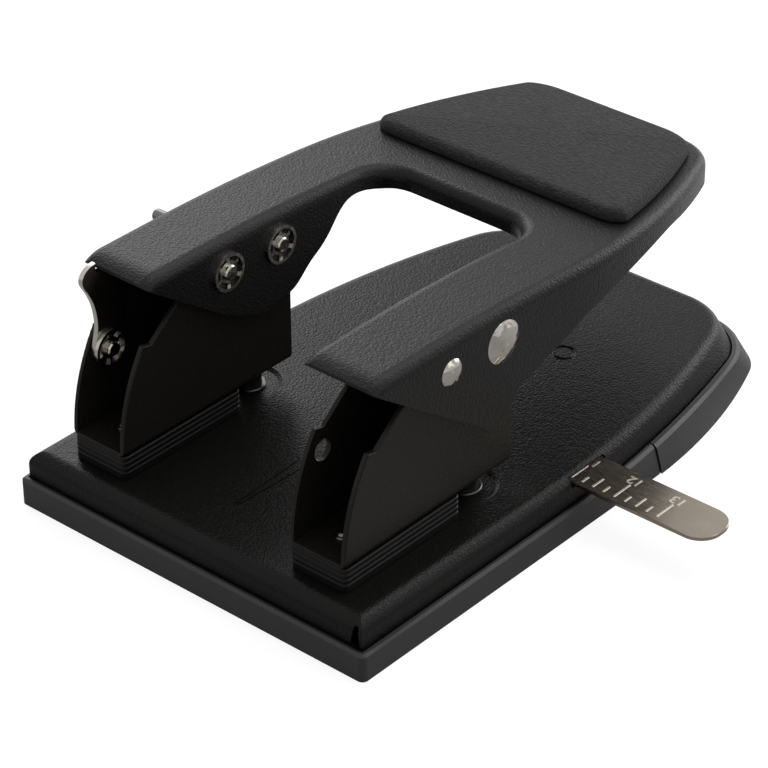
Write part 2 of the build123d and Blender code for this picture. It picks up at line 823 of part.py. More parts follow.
def make_retainer(bore):
    """Push-on star retainer, seated on z = 0: rim, spokes and a hub that grips the pin."""
    disc = raised(Circle(retainer_radius), 0, retainer_rim_height)
    dish = raised(Circle(retainer_radius - retainer_rim), retainer_web, retainer_rim_height)
    disc -= dish
    windows = raised(Circle(retainer_radius - retainer_rim), 0, retainer_web)
    windows -= raised(Circle(bore + retainer_hub), 0, retainer_web)
    spoke = block(
        (0, retainer_radius), (-retainer_spoke_width / 2, retainer_spoke_width / 2), (0, retainer_web)
    )
    for arm in ring_of_holes(retainer_spokes, spoke):
        windows -= arm
    return disc - windows - raised(Circle(bore), -cut_over, cut_over)


even_pull_shares = (1, 1)
latch_front_shares = [
    (0.176, 0.110), (0.155, 0.190), (0.138, 0.300), (0.146, 0.420), (0.172, 0.545), (0.212, 0.650),
    (0.262, 0.745), (0.300, 0.815), (0.308, 0.870), (0.285, 0.925), (0.235, 0.970), (0.170, 0.995),
]
latch_rear_shares = [
    (-0.120, 0.818), (-0.245, 0.722), (-0.302, 0.640), (-0.312, 0.550), (-0.285, 0.380), (-0.236, 0.190),
]


def make_latch():
    """Latch: a broad plate with an eye on its pin, a nose in front of the lever and a tooth under its lip."""

    def place(share):
        return (latch_y - share[0] * latch_rise, latch_z + share[1] * latch_rise)

    top_z = latch_z + latch_rise
    nose_y = -lever_front - latch_front_gap
    tooth_y = -lever_front + latch_tooth_overlap
    tooth_z = lever_top - lip_drop - lever_sheet - latch_tooth_gap
    eye_front = (latch_y - latch_eye_radius, latch_z)
    eye_rear = (latch_y + latch_eye_radius, latch_z)
    front = [eye_front] + [place(share) for share in latch_front_shares] + [(nose_y, top_z)]
    rear = [(tooth_y, tooth_z)] + [place(share) for share in latch_rear_shares] + [eye_rear]
    outline = [
        Spline(front, tangents=[(0, 1), (1, 0)], tangent_scalars=even_pull_shares),
        Line(front[-1], (nose_y, tooth_z)),
        Line((nose_y, tooth_z), (tooth_y, tooth_z)),
        Spline(rear, tangents=[(1, 0), (0, -1)], tangent_scalars=even_pull_shares),
        ThreePointArc(eye_rear, (latch_y, latch_z - latch_eye_radius), eye_front),
    ]
    face = Plane.YZ * make_face(outline)
    left = -hole_x - inner_half + latch_side_gap
    plate = extrude(Pos(left, 0, 0) * face, amount=latch_thickness, dir=(1, 0, 0))
    seen_edges = plate.faces().sort_by(Axis.X)[-1].outer_wire().edges()
    plate = chamfer(seen_edges, latch_edge_share * latch_thickness)
    bore = Rot(0, 90, 0) * Cylinder(latch_hole_diameter / 2, 2 * inner_half)
    return plate - Pos(left, latch_y, latch_z) * bore


def make_latch_pin():
    """Shouldered pin of the latch: head outside the left bracket, thin tip for the retainer."""
    wall = bracket_sheet + latch_side_gap + latch_thickness + latch_play
    shoulder = raised(Circle(latch_pin_radius), -wall, 0)
    tip = raised(Circle(pin_radius), -wall - latch_pin_tail, -wall)
    tip = chamfer(tip.edges().group_by(Axis.Z)[0], pin_edge_share * pin_radius)
    head = raised(Circle(latch_pin_head_radius), 0, latch_pin_head_height)
    head = fillet(head.edges().group_by(Axis.Z)[-1], latch_pin_head_height * latch_pin_head_round_share)
    outer = -hole_x - bracket_width / 2
    return Pos(0, latch_y, latch_z) * along_x(shoulder + tip + head, outer, -1)


def make_latch_retainer():
    """Push-on retainer on the tip of the latch pin."""
    seat = -hole_x - inner_half + latch_side_gap + latch_thickness + latch_play
    return Pos(0, latch_y, latch_z) * along_x(make_retainer(pin_radius + fit_gap), seat, 1)


def make_paper_guide():
    """Flat nickel rule with a rounded outer end."""
    middle = rule_tip - rule_length / 2
    plate = block(
        (rule_tip - rule_length, rule_tip), (rule_centre - rule_width / 2, rule_centre + rule_width / 2),
        (rule_bottom, rule_top),
    )
    ends = plate.edges().filter_by(Axis.Z)
    plate = fillet([e for e in ends if e.center().X > middle], rule_corner)
    plate = fillet([e for e in plate.edges().filter_by(Axis.Z) if e.center().X < middle], rule_corner / 4)
    return chamfer(plate.edges().group_by(Axis.Z)[-1], rule_edge_share * rule_thickness)


def make_rule_channel():
    """Hat-shaped sheet channel under the base that guides the rule."""
    half = rule_width / 2 + notch_side_gap
    outer = half + channel_sheet
    floor_top = rule_bottom - rule_gap
    x_range = (channel_start, channel_end)
    body = block(x_range, (rule_centre - outer, rule_centre + outer), (floor_top - channel_sheet, base_under))
    body -= block(
        (channel_start - cut_over, channel_end + cut_over),
        (rule_centre - half, rule_centre + half), (floor_top, base_under + cut_over),
    )
    for side in (-1, 1):
        inner_y = rule_centre + side * outer
        outer_y = inner_y + side * channel_foot
        foot_low = base_under - channel_sheet
        body += block(x_range, sorted((inner_y, outer_y)), (foot_low, base_under))
    return body


parts = {
    "chip_tray": make_tray_front(),
    "tray_flap": make_tray_flap(),
    "base_plate": make_base_plate(),
    "ruler_guide": make_rule_channel(),
    "paper_guide": make_paper_guide(),
    "lever": make_lever(),
    "palm_pad": make_pad(),
    "arm_stud": make_stud(),
    "latch": make_latch(),
    "latch_pin": make_latch_pin(),
    "latch_retainer": make_latch_retainer(),
}

both_sides = {
    "die": make_die(),
    "foot_plate": stack_plate(stack_bottom, foot_thickness),
    "bracket": make_bracket(),
    "punch_guide": make_punch_guide(),
    "punch": make_punch(),
    "punch_collar": make_collar(),
    "return_spring": make_spring(),
}
for i in range(spacer_count):
    low = stack_bottom + foot_thickness + i * spacer_thickness
    both_sides[f"spacer_{i + 1}"] = stack_plate(low, spacer_thickness)
for name, solid in both_sides.items():
    parts[f"left_{name}"], parts[f"right_{name}"] = on_both_sides(solid)

rivets = []
washers = []
for x, y in rivet_places():
    rivets += on_both_sides(Pos(x, y, 0) * make_rivet())
    washers += on_both_sides(Pos(x, y, 0) * make_washer())
parts["bracket_rivets"] = Compound(rivets)
parts["rivet_washers"] = Compound(washers)

retainers = []
for side, side_name in ((-1, "left"), (1, "right")):
    parts[f"{side_name}_pivot_pin"] = make_pin(pivot_y, pivot_z, pivot_head_radius, side)
    parts[f"{side_name}_drive_pin"] = make_pin(drive_y, drive_z, drive_head_radius, side)
    for y, z in ((pivot_y, pivot_z), (drive_y, drive_z)):
        retainer = along_x(make_retainer(pin_radius + fit_gap), side * window_half_width, -side)
        retainers.append(Pos(0, y, z) * retainer)
parts["pin_retainers"] = Compound(retainers)

print_spring_gap()
os.makedirs("parts", exist_ok=True)
for name, solid in parts.items():
    export_step(solid, f"parts/{name}.step")
    print(name, round(solid.volume, 1), len(solid.solids()))
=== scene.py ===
# %% [markdown]
# # Dressing a two-hole desk punch
#
# The punch comes from CAD as a set of exact parts: a pressed steel base in a plastic tray, two
# towers, a wide lever, pins, springs and a nickel paper guide. This lesson gives each of them the
# finish of the real thing, models what CAD left plain (the foam palm pad and the stamped marks on
# the paper guide), and then sets up a floor, lamps and a camera. All sizes are in metres.

# %% Load the parts
import math

import bmesh
import bpy
from mathutils import Matrix, Vector


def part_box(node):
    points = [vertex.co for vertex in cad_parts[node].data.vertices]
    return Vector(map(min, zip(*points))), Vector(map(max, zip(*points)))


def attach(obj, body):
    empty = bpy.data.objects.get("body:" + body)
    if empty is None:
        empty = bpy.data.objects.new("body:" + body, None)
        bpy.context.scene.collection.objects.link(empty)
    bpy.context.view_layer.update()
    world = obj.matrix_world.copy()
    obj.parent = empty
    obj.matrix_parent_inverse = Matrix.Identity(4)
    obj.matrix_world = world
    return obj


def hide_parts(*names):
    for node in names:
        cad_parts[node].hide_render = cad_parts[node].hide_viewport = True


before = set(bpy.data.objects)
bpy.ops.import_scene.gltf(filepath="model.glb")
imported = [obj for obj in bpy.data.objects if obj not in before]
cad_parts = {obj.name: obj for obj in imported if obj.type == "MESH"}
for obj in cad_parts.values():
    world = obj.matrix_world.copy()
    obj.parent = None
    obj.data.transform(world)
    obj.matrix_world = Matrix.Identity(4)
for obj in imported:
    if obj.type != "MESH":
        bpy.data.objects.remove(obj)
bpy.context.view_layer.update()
bpy.ops.object.select_all(action="DESELECT")
print("parts loaded:", len(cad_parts))

# %% [markdown]
# ## Small helpers
#
# A procedural material is a chain of nodes. Most finishes here share the same few steps: read the
# object's own coordinates, make a pattern at the real scale, and use it for a little colour change,
# roughness and bump. Short helpers keep each recipe readable. Values that are the same all over a
# surface go straight on the shader's sockets, because an exported model keeps only those.

# %% Node helpers
MM = 0.001


def new_material(name, **shader_values):
    """Material with one Principled shader, whose sockets get the values given by name."""
    material = bpy.data.materials.new(name)
    material.use_nodes = True
    shader = material.node_tree.nodes["Principled BSDF"]
    for socket, value in shader_values.items():
        shader.inputs[socket.replace("_", " ")].default_value = value
    return material, shader


def add_node(owner, kind, inputs=None, **settings):
    """Add one node to a material or world, set its properties, then its input values or links."""
    node = owner.node_tree.nodes.new(kind)
    for key, value in settings.items():
        setattr(node, key, value)
    for socket, value in (inputs or {}).items():
        if isinstance(value, bpy.types.NodeSocket):
            join(owner, value, node.inputs[socket])
        else:
            node.inputs[socket].default_value = value
    return node


def join(owner, source, target):
    """Link an output to an input."""
    owner.node_tree.links.new(source, target)


def math_node(owner, operation, *values):
    """Result of a math node on two or three values or links."""
    node = add_node(owner, "ShaderNodeMath", dict(enumerate(values)), operation=operation)
    return node.outputs[0]


def object_space(material, stretch=(1, 1, 1), turn=0):
    """Object coordinates, stretched along the axes or turned about Z."""
    coordinates = add_node(material, "ShaderNodeTexCoord")
    inputs = {"Vector": coordinates.outputs["Object"], "Scale": stretch, "Rotation": (0, 0, turn)}
    return add_node(material, "ShaderNodeMapping", inputs).outputs["Vector"]


def noise(material, place, size, detail=2.0, roughness=0.5, output="Fac"):
    """Noise whose blobs are about the given size."""
    inputs = {"Vector": place, "Scale": 1 / size, "Detail": detail, "Roughness": roughness}
    return add_node(material, "ShaderNodeTexNoise", inputs).outputs[output]


def cells(material, place, size, smoothness):
    """Rounded cells of about the given size: 0 in the middle of each, growing to its rim."""
    inputs = {"Vector": place, "Scale": 1 / size, "Smoothness": smoothness}
    node = add_node(material, "ShaderNodeTexVoronoi", inputs, feature="SMOOTH_F1")
    return node.outputs["Distance"]


def remap(owner, value, low, high, to_low, to_high):
    """Map one range of values onto another and stay inside it."""
    inputs = {
        "Value": value, "From Min": low, "From Max": high, "To Min": to_low, "To Max": to_high,
    }
    return add_node(owner, "ShaderNodeMapRange", inputs).outputs["Result"]


def tint(material, value, low_color, high_color):
    """Blend two colours by a value from 0 to 1."""
    wanted = {"Factor": value, "A": (*low_color, 1), "B": (*high_color, 1)}
    node = add_node(material, "ShaderNodeMix", data_type="RGBA")
    for socket in node.inputs:
        if not socket.enabled or socket.name not in wanted:
            continue
        if isinstance(wanted[socket.name], bpy.types.NodeSocket):
            join(material, wanted[socket.name], socket)
        else:
            socket.default_value = wanted[socket.name]
    return next(socket for socket in node.outputs if socket.enabled)


def bump(material, height, depth, under=None):
    """Bump from a height between 0 and 1, whose full relief has the given depth."""
    inputs = {"Height": height, "Distance": depth}
    if under:
        inputs["Normal"] = under
    return add_node(material, "ShaderNodeBump", inputs).outputs["Normal"]


print("helpers ready")

# %% [markdown]
# ## Black paint with a leather grain
#
# The base and the lever are pressed from steel sheet and coated with a black textured paint. Its
# grain is a field of low, soft pebbles less than a millimetre wide, which breaks the highlights
# into short glints. Smooth Voronoi cells give the pebbles. A coarse noise bends them and lays a
# gentle swell under them, and a fine one roughens them. The relief is a bump, because it is only
# about a tenth of a millimetre.

# %% Leather-grain paint
SWELL_SPAN = 3.2  # these four spans are in pebbles
WANDER_SPAN = 2.5
WANDER_REACH = 0.9
FINE_SPAN = 0.3
PEBBLE_SOFTNESS = 0.5
SWELL_SHARE = 0.55
FINE_SHARE = 0.12
PATCH_SIZE = 26 * MM
PEBBLE_TOP, PEBBLE_FOOT = 0.1, 0.7
FOOT_DULLING = 0.12


def grained_paint(name, dark, light, gloss, relief, mirror, pebble=0.60 * MM):
    """Textured black paint. Gloss is the roughness on a pebble's top, mirror the specular level."""
    material, shader = new_material(name, Roughness=gloss, Specular_IOR_Level=mirror)
    place = object_space(material)
    wander = noise(material, place, WANDER_SPAN * pebble, output="Color")
    shift = add_node(
        material, "ShaderNodeVectorMath", {0: wander, "Scale": WANDER_REACH * pebble},
        operation="SCALE",
    )
    bent = add_node(
        material, "ShaderNodeVectorMath", {0: place, 1: shift.outputs["Vector"]}, operation="ADD"
    )
    grain = cells(material, bent.outputs["Vector"], pebble, PEBBLE_SOFTNESS)
    swell = noise(material, place, SWELL_SPAN * pebble)
    fine = noise(material, place, FINE_SPAN * pebble, detail=3)
    pebbles = math_node(material, "MULTIPLY", grain, -1.0)
    swelled = math_node(material, "MULTIPLY_ADD", swell, SWELL_SHARE, pebbles)
    height = math_node(material, "MULTIPLY_ADD", fine, FINE_SHARE, swelled)
    join(material, bump(material, height, relief), shader.inputs["Normal"])
    patches = noise(material, place, PATCH_SIZE, detail=3)
    join(material, tint(material, patches, dark, light), shader.inputs["Base Color"])
    dulled = remap(material, grain, PEBBLE_TOP, PEBBLE_FOOT, gloss, gloss + FOOT_DULLING)
    join(material, dulled, shader.inputs["Roughness"])
    return material


lever_paint = grained_paint(
    "lever_paint", dark=(0.0045, 0.0044, 0.0043), light=(0.0065, 0.0064, 0.0063),
    gloss=0.30, relief=0.09 * MM, mirror=0.15,
)
base_paint = grained_paint(
    "base_paint", dark=(0.0035, 0.0034, 0.0030), light=(0.0050, 0.0048, 0.0044),
    gloss=0.25, relief=0.10 * MM, mirror=0.12,
)
print("grained paints:", lever_paint.name, base_paint.name)

# %% [markdown]
# ## Smoother black paint
#
# The towers wear a thinner, glossier coat of a slightly browner black: the grain is much fainter, so
# the inner walls mirror their dark surroundings. This black is set more than twice as light as the
# lever's, as painted fill light for the inner walls, which get little light. The plates under them
# are plain black sheet.

# %% Tower and plate paint
# More than twice as light as the lever's black: painted fill light for the shaded inner walls.
tower_paint_with_painted_fill = grained_paint(
    "tower_paint_with_painted_fill", dark=(0.0112, 0.0097, 0.0082), light=(0.0140, 0.0124, 0.0106),
    gloss=0.20, relief=0.03 * MM, mirror=0.12,
)
plate_paint = grained_paint(
    "plate_paint", dark=(0.0045, 0.0044, 0.0042), light=(0.0065, 0.0064, 0.0062),
    gloss=0.28, relief=0.03 * MM, mirror=0.14,
)
print("smooth paints:", tower_paint_with_painted_fill.name, plate_paint.name)

# %% [markdown]
# ## Matte plastic
#
# The chip tray is moulded in a softer black that reads as dark grey. Its surface is nearly smooth,
# with a spark-eroded texture too fine to see as pebbles, and a faint cloudiness from handling.

# %% Tray plastic
TEXTURE_SIZE = 0.35 * MM
TEXTURE_RELIEF = 0.02 * MM
CLOUD_SIZE = 30 * MM
CLOUD_LOW, CLOUD_HIGH = 0.3, 0.7


def moulded_plastic(name, dark, light, roughness, mirror):
    """Matte moulded plastic with a very fine texture."""
    material, shader = new_material(name, Roughness=roughness, Specular_IOR_Level=mirror)
    place = object_space(material)
    texture = noise(material, place, TEXTURE_SIZE)
    join(material, bump(material, texture, TEXTURE_RELIEF), shader.inputs["Normal"])
    clouds = noise(material, place, CLOUD_SIZE, detail=4)
    join(material, tint(material, clouds, dark, light), shader.inputs["Base Color"])
    worn = remap(material, clouds, CLOUD_LOW, CLOUD_HIGH, roughness - 0.04, roughness + 0.06)
    join(material, worn, shader.inputs["Roughness"])
    return material


tray_plastic = moulded_plastic(
    "tray_plastic", dark=(0.0085, 0.0084, 0.0082), light=(0.0120, 0.0119, 0.0117),
    roughness=0.50, mirror=0.46,
)
print("plastic:", tray_plastic.name)

# %% [markdown]
# ## Nickel and steel
#
# Pins, retainers, latch and paper guide are nickel-plated: a warm grey metal that mirrors the
# studio. Stamped parts are never perfectly flat, so a broad, shallow bump makes the reflections
# wander, most of all on the domed heads, and a fine noise, stretched on long parts, stands for the
# rolling marks in the sheet. Springs are a darker steel, rivets and the arm stud darker still, and
# punches and dies nearly black.

# %% Metals
ROLLING_MARK_SIZE = 0.25 * MM
ROLLING_RELIEF = 0.004 * MM
STAIN_SIZE = 6 * MM
MARK_LOW, MARK_HIGH = 0.3, 0.7
SMOOTHEST, ROUGHEST = 0.8, 1.3


def bright_metal(
    name, dark, light, roughness, rolling=(1, 1, 1), waviness=0.03 * MM, wave_size=2.5 * MM
):
    """Plated or ground metal with rolling marks and slightly wavy reflections."""
    material, shader = new_material(name, Metallic=1.0)
    place = object_space(material)
    along = object_space(material, stretch=rolling)
    rolled = noise(material, along, ROLLING_MARK_SIZE, detail=4, roughness=0.6)
    waves = noise(material, place, wave_size, detail=1)
    stains = noise(material, place, STAIN_SIZE, detail=4)
    join(material, tint(material, stains, dark, light), shader.inputs["Base Color"])
    dulled = remap(
        material, rolled, MARK_LOW, MARK_HIGH, roughness * SMOOTHEST, roughness * ROUGHEST
    )
    join(material, dulled, shader.inputs["Roughness"])
    wavy = bump(material, waves, waviness)
    join(material, bump(material, rolled, ROLLING_RELIEF, under=wavy), shader.inputs["Normal"])
    return material


pin_nickel = bright_metal(
    "pin_nickel", dark=(0.20, 0.185, 0.165), light=(0.62, 0.585, 0.53),
    roughness=0.12, waviness=0.40 * MM,
)
retainer_nickel = bright_metal(
    "retainer_nickel", dark=(0.28, 0.26, 0.235), light=(0.52, 0.49, 0.445),
    roughness=0.20, waviness=0.12 * MM,
)
latch_nickel = bright_metal(
    "latch_nickel", dark=(0.40, 0.37, 0.33), light=(0.55, 0.51, 0.455), roughness=0.20
)
guide_nickel = bright_metal(
    "guide_nickel", dark=(0.26, 0.222, 0.183), light=(0.345, 0.30, 0.25),
    roughness=0.22, rolling=(0.06, 1, 1), wave_size=9 * MM,
)
# About twice as light as the guide's nickel: a painted highlight for the stamped marks' edges.
mark_highlight_nickel = bright_metal(
    "mark_highlight_nickel", dark=(0.52, 0.48, 0.42), light=(0.66, 0.61, 0.54), roughness=0.34
)
punch_steel = bright_metal(
    "punch_steel", dark=(0.045, 0.044, 0.042), light=(0.085, 0.083, 0.08),
    roughness=0.30, rolling=(1, 1, 0.05),
)
spring_steel = bright_metal(
    "spring_steel", dark=(0.20, 0.20, 0.20), light=(0.30, 0.30, 0.30), roughness=0.28
)
dark_steel = bright_metal(
    "dark_steel", dark=(0.10, 0.10, 0.10), light=(0.18, 0.175, 0.17), roughness=0.30
)
print("nickel:", pin_nickel.name, retainer_nickel.name, latch_nickel.name, guide_nickel.name)
print("steel:", punch_steel.name, spring_steel.name, dark_steel.name, "marks:", mark_highlight_nickel.name)

# %% [markdown]
# ## Foam rubber
#
# The palm pad is moulded foam rubber with a skin like fine cloth: dull, dark grey, and covered with
# tiny broken ridges that run across the handle. A stretched noise makes the ridges, round cells
# stand for the pores, and a low sheen lifts the edges a little, as on any soft matte surface. The
# colour follows the ridge height: the valleys are painted darker as shade and the ridge tops lighter
# as painted light.

# %% Pad rubber
RIDGE_SIZE = 0.70 * MM
RIDGE_STRETCH = (0.55, 1, 1)
RIDGE_TURN = math.radians(8)
RIDGE_LOW, RIDGE_HIGH = 0.3, 0.7
PORE_SIZE = 0.5 * MM
PORE_SOFTNESS = 0.2
PORE_SHARE = -0.35
SKIN_RELIEF = 0.55 * MM
VALLEY_SHADE_COLOR = (0.003, 0.003, 0.003)
RIDGE_LIT_COLOR = (0.013, 0.013, 0.0125)
VALLEY_ROUGHNESS, RIDGE_ROUGHNESS = 0.86, 0.68


def foam_rubber(name):
    """Dull foam skin with short ridges across the handle."""
    material, shader = new_material(
        name, Specular_IOR_Level=0.22, Sheen_Weight=0.05, Sheen_Roughness=0.5
    )
    across = object_space(material, stretch=RIDGE_STRETCH, turn=RIDGE_TURN)
    ridges = noise(material, across, RIDGE_SIZE, detail=3, roughness=0.65)
    pores = cells(material, object_space(material), PORE_SIZE, PORE_SOFTNESS)
    height = math_node(material, "MULTIPLY_ADD", pores, PORE_SHARE, ridges)
    join(material, bump(material, height, SKIN_RELIEF), shader.inputs["Normal"])
    # Painted shade in the valleys and painted light on the ridge tops, following the ridge height.
    level = remap(material, ridges, RIDGE_LOW, RIDGE_HIGH, 0, 1)
    join(material, tint(material, level, VALLEY_SHADE_COLOR, RIDGE_LIT_COLOR), shader.inputs["Base Color"])
    dulled = remap(
        material, ridges, RIDGE_LOW, RIDGE_HIGH, VALLEY_ROUGHNESS, RIDGE_ROUGHNESS
    )
    join(material, dulled, shader.inputs["Roughness"])
    return material


pad_rubber = foam_rubber("pad_rubber")
print("pad:", pad_rubber.name)

# %% [markdown]
# ## Finishes on the CAD parts
#
# Each CAD part keeps its exact mesh and only gets a material in its slot. Left and right parts
# share a finish, so the table is read by the end of the part's name.

# %% Assign finishes
FINISHES = {
    "lever": lever_paint,
    "base_plate": base_paint,
    "chip_tray": tray_plastic,
    "tray_flap": tray_plastic,
    "bracket": tower_paint_with_painted_fill,
    "punch_guide": tower_paint_with_painted_fill,
    "foot_plate": plate_paint,
    "spacer_1": plate_paint,
    "spacer_2": plate_paint,
    "spacer_3": plate_paint,
    "die": punch_steel,
    "punch": punch_steel,
    "punch_collar": punch_steel,
    "return_spring": spring_steel,
    "pivot_pin": pin_nickel,
    "drive_pin": pin_nickel,
    "pin_retainers": retainer_nickel,
    "arm_stud": dark_steel,
    "bracket_rivets": dark_steel,
    "rivet_washers": dark_steel,
    "latch": latch_nickel,
    "latch_pin": pin_nickel,
    "latch_retainer": retainer_nickel,
    "ruler_guide": guide_nickel,
    "paper_guide": guide_nickel,
    "palm_pad": pad_rubber,
}


def finish_for(node_name):
    """Finish of a part, by its name without left or right."""
    return FINISHES[node_name.removeprefix("left_").removeprefix("right_")]


for node_name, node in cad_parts.items():
    for material_slot in node.material_slots:
        material_slot.material = finish_for(node_name)
print("finished parts:", len(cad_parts))

# %% [markdown]
# ## The palm pad
#
# The pad follows the handle's outline, a few millimetres inside it. It starts as a flat grid of
# rows that get narrower towards the back. The grid becomes one face, is rounded at its corners and
# pulled up. Its rim is rolled over with a bevel, and then ever smaller copies of the top face, each
# a little higher than the last, crown the top. At the end the pad is tilted to lie on the sloping
# handle.

# %% Pad sizes and editing helpers
PAD_BOX = [Vector(corner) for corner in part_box("palm_pad")]
HANDLE_SLOPE = 0.072
HANDLE_LEVEL = 66.9 * MM
PAD_HALF_WIDTH = 41.3 * MM
PAD_SIDE_START = 27.7 * MM
PAD_SIDE_RADIUS = 174.7 * MM
PAD_FRONT = 52.2 * MM
PAD_BACK = 101.7 * MM
PAD_FRONT_CORNER = 7.0 * MM
PAD_BACK_CORNER = 8.5 * MM
PAD_HEIGHT = 3.5 * MM
PAD_CROWN = 1.0 * MM
PAD_RIM = 2.6 * MM
PAD_ROWS = 12
CROWN_RINGS = (0.92, 0.82, 0.70, 0.56, 0.40, 0.22)
SOLE_RING = 0.9
NEARLY = 0.999
FLAT = 0.99


def pad_side(y):
    """Half width of the pad at a place along the handle."""
    along = y - PAD_SIDE_START
    return PAD_HALF_WIDTH - PAD_SIDE_RADIUS + math.sqrt(PAD_SIDE_RADIUS**2 - along**2)


def only_selected(obj):
    """Make one object the active one and the only one selected."""
    bpy.ops.object.select_all(action="DESELECT")
    obj.select_set(True)
    bpy.context.view_layer.objects.active = obj


def pick(obj, kind, wanted):
    """In edit mode, select only the vertices, edges or faces that a test accepts."""
    bpy.ops.mesh.select_mode(type={"verts": "VERT", "edges": "EDGE", "faces": "FACE"}[kind])
    bpy.ops.mesh.select_all(action="DESELECT")
    mesh = bmesh.from_edit_mesh(obj.data)
    for element in getattr(mesh, kind):
        element.select_set(bool(wanted(element)))
    mesh.select_flush_mode()
    bmesh.update_edit_mesh(obj.data)


def squeeze(x=1, y=1):
    """Resize what is selected about the origin, along X and Y."""
    bpy.ops.transform.resize(value=(x, y, 1), center_override=(0, 0, 0))


def apply_place(obj):
    """Move an object's place, turn and size into its mesh."""
    only_selected(obj)
    bpy.ops.object.transform_apply(location=True, rotation=True, scale=True)


def wear_only(obj, material):
    """Leave one material on an object."""
    obj.data.materials.clear()
    obj.data.materials.append(material)


print("pad half widths:", round(pad_side(PAD_FRONT), 4), "to", round(pad_side(PAD_BACK), 4))

# %% Pad outline
bpy.ops.object.select_all(action="DESELECT")
bpy.ops.mesh.primitive_grid_add(x_subdivisions=1, y_subdivisions=PAD_ROWS, size=2)
pad = bpy.context.object
pad.name = "palm_pad_foam"
middle_y = (PAD_FRONT + PAD_BACK) / 2
half_length = (PAD_BACK - PAD_FRONT) / 2
bpy.ops.object.mode_set(mode="EDIT")
for row in range(PAD_ROWS + 1):
    row_y = -1 + 2 * row / PAD_ROWS
    pick(pad, "verts", lambda v: abs(v.co.y - row_y) < 0.5 / PAD_ROWS)
    squeeze(x=pad_side(middle_y + row_y * half_length))
bpy.ops.mesh.select_all(action="SELECT")
squeeze(y=half_length)
pick(pad, "edges", lambda e: len(e.link_faces) == 2)
bpy.ops.mesh.dissolve_edges(use_verts=False)
pick(pad, "verts", lambda v: v.co.y < -half_length * NEARLY)
bpy.ops.mesh.bevel(offset=PAD_FRONT_CORNER, offset_type="OFFSET", segments=8, affect="VERTICES")
pick(pad, "verts", lambda v: v.co.y > half_length * NEARLY)
bpy.ops.mesh.bevel(offset=PAD_BACK_CORNER, offset_type="OFFSET", segments=10, affect="VERTICES")
print("pad outline points:", len(bmesh.from_edit_mesh(pad.data).verts))

# %% Pad body and crown
bpy.ops.mesh.select_all(action="SELECT")
bpy.ops.mesh.extrude_region_move(TRANSFORM_OT_translate={"value": (0, 0, PAD_HEIGHT)})
pick(pad, "edges", lambda e: all(v.co.z > PAD_HEIGHT / 2 for v in e.verts))
bpy.ops.mesh.bevel(offset=PAD_RIM, segments=8, profile=0.5, affect="EDGES")
pick(pad, "faces", lambda f: f.normal.z > FLAT and f.calc_center_median().z > PAD_HEIGHT * FLAT)
reached = 1.0
for ring in CROWN_RINGS:
    rise = PAD_CROWN * (reached**2 - ring**2)
    bpy.ops.mesh.extrude_region_move(TRANSFORM_OT_translate={"value": (0, 0, rise)})
    squeeze(x=ring / reached, y=ring / reached)
    reached = ring
bpy.ops.mesh.poke()
print("crown rings:", len(CROWN_RINGS))

# %% Pad sole and skin
pick(
    pad, "faces",
    lambda f: abs(f.normal.z) > FLAT and f.calc_center_median().z < PAD_HEIGHT * (1 - FLAT),
)
bpy.ops.mesh.extrude_region_move()
squeeze(x=SOLE_RING, y=SOLE_RING)
bpy.ops.mesh.poke()
bpy.ops.mesh.select_all(action="SELECT")
bpy.ops.mesh.normals_make_consistent(inside=False)
bpy.ops.object.mode_set(mode="OBJECT")
smooth = pad.modifiers.new("soft", "SUBSURF")
smooth.levels = smooth.render_levels = 1
only_selected(pad)
bpy.ops.object.modifier_apply(modifier="soft")
bpy.ops.object.shade_smooth()
print("pad faces:", len(pad.data.polygons))

# %% Pad on the handle
pad.rotation_euler = (-math.atan(HANDLE_SLOPE), 0, 0)
pad.location = (0, middle_y, HANDLE_LEVEL - HANDLE_SLOPE * middle_y)
apply_place(pad)
wear_only(pad, pad_rubber)
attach(pad, "lever")
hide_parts("palm_pad")
print("CAD pad:", [round(v, 4) for v in PAD_BOX[1] - PAD_BOX[0]])
print("foam pad:", [round(v, 4) for v in pad.dimensions])

# %% [markdown]
# ## Marks on the paper guide
#
# The paper guide is stamped with an inch scale: a long line at each whole number, a shorter one at
# each half, and the shortest at each quarter. A stamped line throws up a low, bright edge, so each
# mark here is a slim ridge about a tenth of a millimetre high, with rounded ends. The ridges and the
# numbers are in a nickel about twice as light as the guide's, which is a painted highlight for the
# light their stamped edges catch. One helper makes a line of any length, and the lines are then
# joined into one piece.

# %% Scale lines
GUIDE_BOX = [Vector(corner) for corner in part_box("paper_guide")]
guide_top = GUIDE_BOX[1].z
guide_front = GUIDE_BOX[0].y
MARK_PITCH = 12.7 * MM / 4
FIRST_MARK = 51.5 * MM
MARK_COUNT = 9
MARK_INSET = 1.5 * MM
MARK_WIDTH = 0.6 * MM
MARK_RELIEF = 0.09 * MM
MARK_LENGTHS = (6.5 * MM, 2.7 * MM, 4.4 * MM, 2.7 * MM)
END_ROUND = 0.45 * MARK_WIDTH
TOP_EASE = 0.8 * MARK_RELIEF


